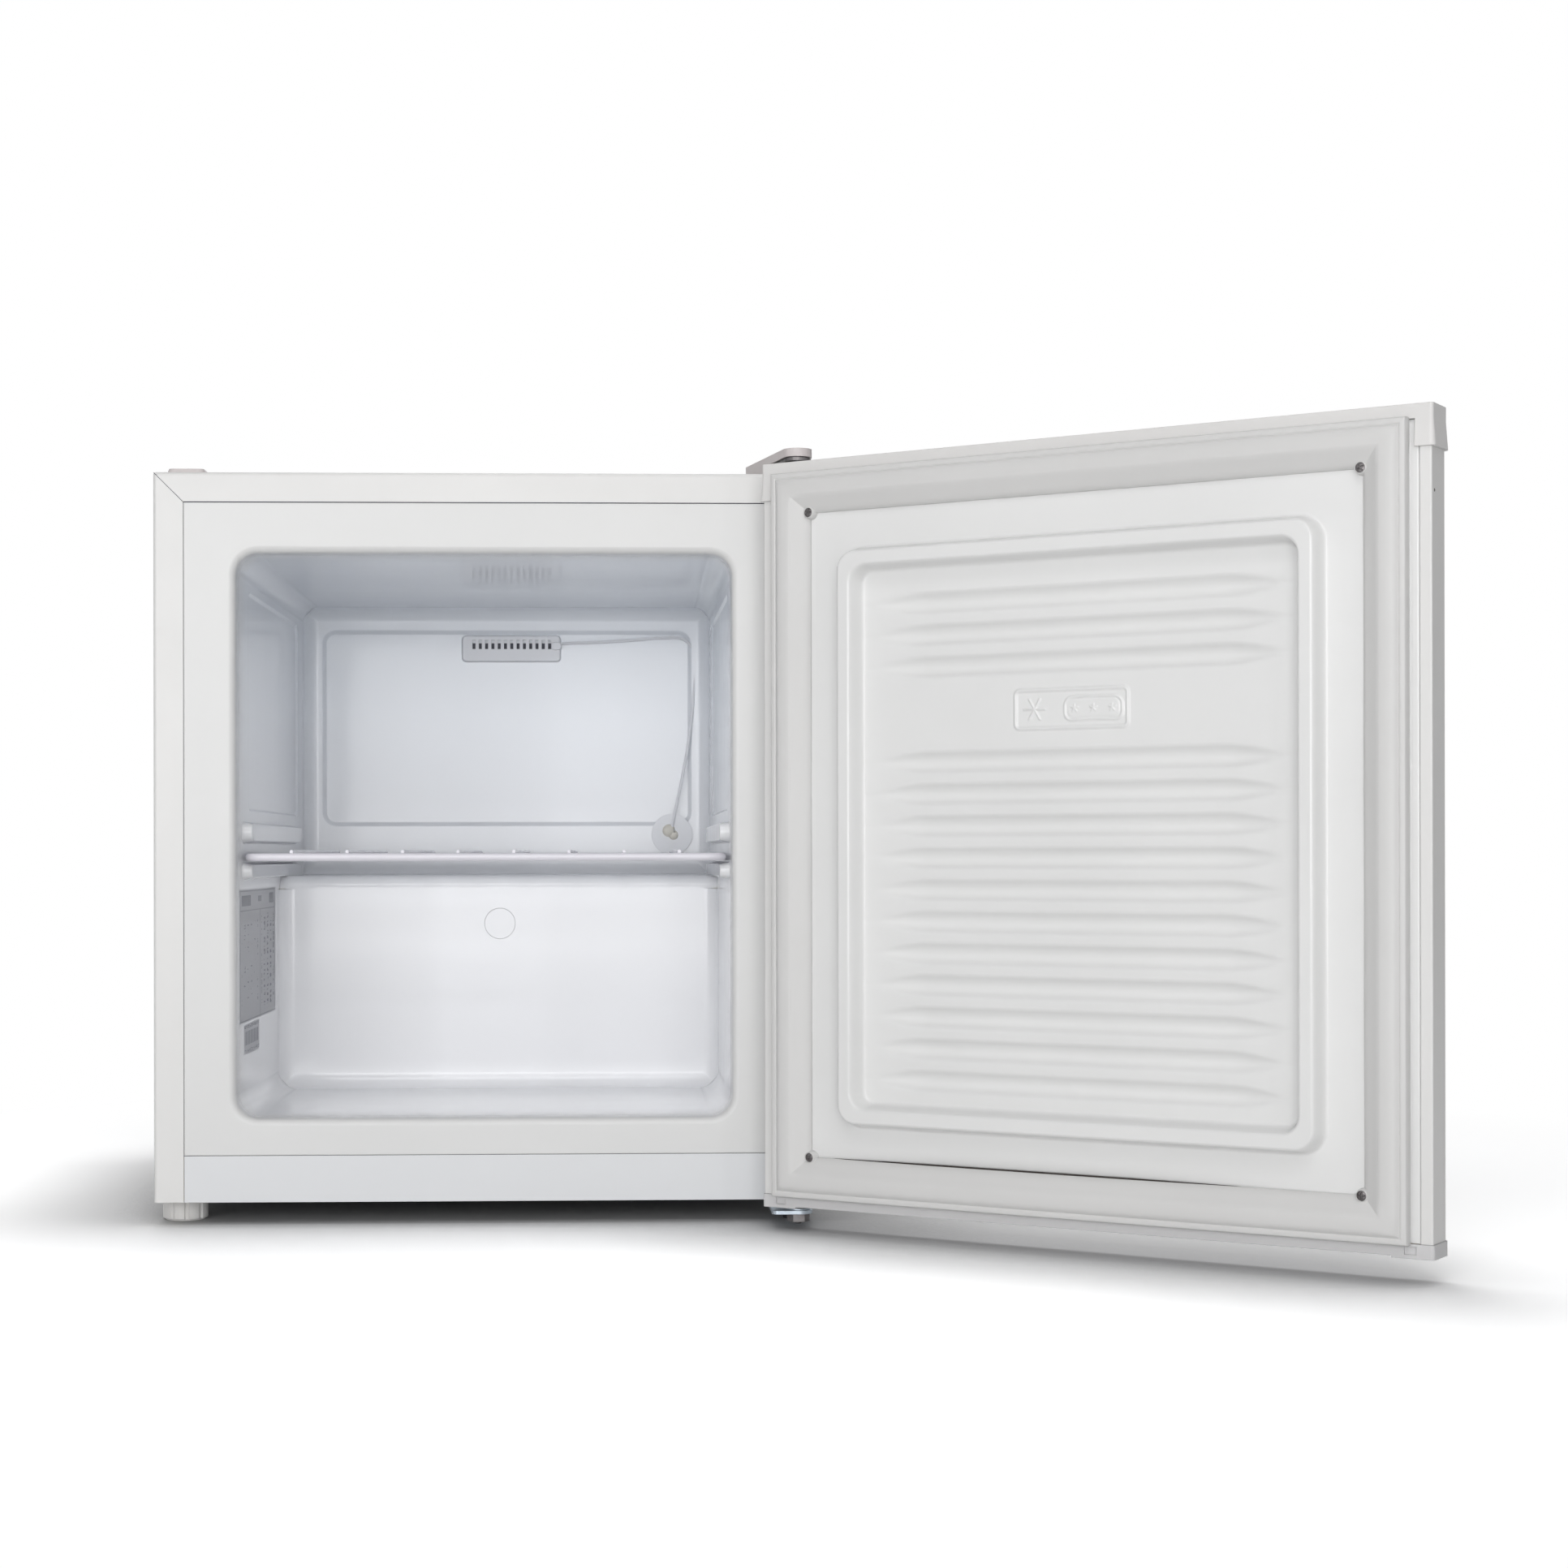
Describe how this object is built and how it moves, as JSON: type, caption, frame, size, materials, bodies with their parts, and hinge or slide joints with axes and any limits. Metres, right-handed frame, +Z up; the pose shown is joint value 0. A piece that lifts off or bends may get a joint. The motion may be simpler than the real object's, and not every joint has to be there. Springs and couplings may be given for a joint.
{
  "type": "upright compact freezer",
  "caption": "Compact upright box freezer with a side-hung insulated door standing open, wire shelf on moulded runners, stepped cavity and a compressor with wire condenser at the back.",
  "frame": {"origin": "middle of the bounding box's underside with the door open as at rest, on the floor under the feet", "axes": "+X to the right and +Y to the back as seen from the front of the cabinet, +Z up; the front of the cabinet faces -Y"},
  "size_m": [0.7861, 0.7242, 0.5133],
  "materials": {
    "white_enamel": "semi-gloss baked enamel, near white",
    "zinc_sheet": "galvanised sheet, dull",
    "liner_white": "vacuum-formed polystyrene, satin",
    "foam": "cut polyurethane foam",
    "white_plastic": "moulded, satin white",
    "grey_plastic": "moulded, pale grey",
    "putty": "sealing putty, cream",
    "white_wire": "plastic-coated steel wire",
    "aluminium_tube": "drawn tube, dull",
    "black_enamel": "black enamel, semi-gloss",
    "black_rubber": "moulded rubber",
    "black_plastic": "moulded, black",
    "copper": "drawn copper",
    "zinc_steel": "zinc plated steel",
    "yellow_brass": "brass",
    "seal_grey": "soft extruded profile, pale warm grey",
    "magnet_strip": "magnetic rubber strip"
  },
  "bodies": {
    "cabinet": {"outer_wrap": "white_enamel", "back_panel": "zinc_sheet", "base_panel": "zinc_sheet", "front_rail": "white_enamel", "cabinet_liner": "liner_white", "cabinet_foam": "foam", "hinge_hole_cap": "white_plastic", "sensor_cover": "white_plastic", "sensor_tube": "aluminium_tube", "tube_grommet": "grey_plastic", "sealing_putty": "putty", "evaporator_tube": "aluminium_tube", "compressor_deck": "zinc_sheet", "compressor": "black_enamel", "compressor_foot_plate": "black_enamel", "compressor_grommets": "black_rubber", "compressor_bolts": "zinc_steel", "relay_box": "black_plastic", "discharge_tube": "copper", "suction_tube": "copper", "filter_drier": "copper", "capillary_tube": "copper", "condenser_tube": "black_enamel", "condenser_wires": "black_enamel", "condenser_clips": "black_plastic", "thermostat_box": "white_plastic", "cable_gland": "black_plastic", "earth_screw": "yellow_brass", "foot_inserts": "black_plastic", "rear_feet": "black_plastic", "upper_hinge_bracket": "zinc_steel", "upper_hinge_pin": "zinc_steel", "upper_hinge_screws": "zinc_steel", "hinge_cover": "white_plastic", "lower_hinge_bracket": "zinc_steel", "lower_hinge_pin": "zinc_steel", "lower_hinge_screws": "zinc_steel", "hinge_washer": "zinc_steel"},
    "door": {"door_skin": "white_enamel", "door_top_cap": "white_plastic", "door_bottom_cap": "white_plastic", "door_foam": "foam", "door_liner": "liner_white", "door_seal": "seal_grey", "seal_magnets": "magnet_strip", "liner_screws": "zinc_steel", "upper_bush": "white_plastic", "lower_bush": "white_plastic", "spare_hole_plugs": "white_plastic"},
    "shelf": {"wire_shelf": "white_wire"},
    "front_foot_left": {"front_foot_left": "white_plastic", "foot_stud_left": "zinc_steel"},
    "front_foot_right": {"front_foot_right": "black_plastic", "foot_stud_right": "zinc_steel"},
    "thermostat_knob": {"thermostat_knob": "white_plastic"}
  },
  "joints": [
    {"name": "door_hinge", "type": "hinge", "parent": "cabinet", "child": "door", "pos_m": [0.0347, -0.10054, 0.255], "axis": [0, 0, 1], "range_deg": [-145.4, 25]},
    {"name": "shelf_slide", "type": "slide", "parent": "cabinet", "child": "shelf", "axis": [0, -1, 0], "range_m": [-0.02, 0.014]},
    {"name": "front_foot_left_turn", "type": "hinge", "parent": "cabinet", "child": "front_foot_left", "pos_m": [-0.37745, -0.03394, 0.01], "axis": [0, 0, 1], "continuous": true},
    {"name": "front_foot_right_turn", "type": "hinge", "parent": "cabinet", "child": "front_foot_right", "pos_m": [0.0347, -0.04694, 0.01], "axis": [0, 0, 1], "continuous": true},
    {"name": "thermostat_turn", "type": "hinge", "parent": "cabinet", "child": "thermostat_knob", "pos_m": [-0.07005, 0.34106, 0.149], "axis": [0, 1, 0], "range_deg": [0, 270]}
  ]
}
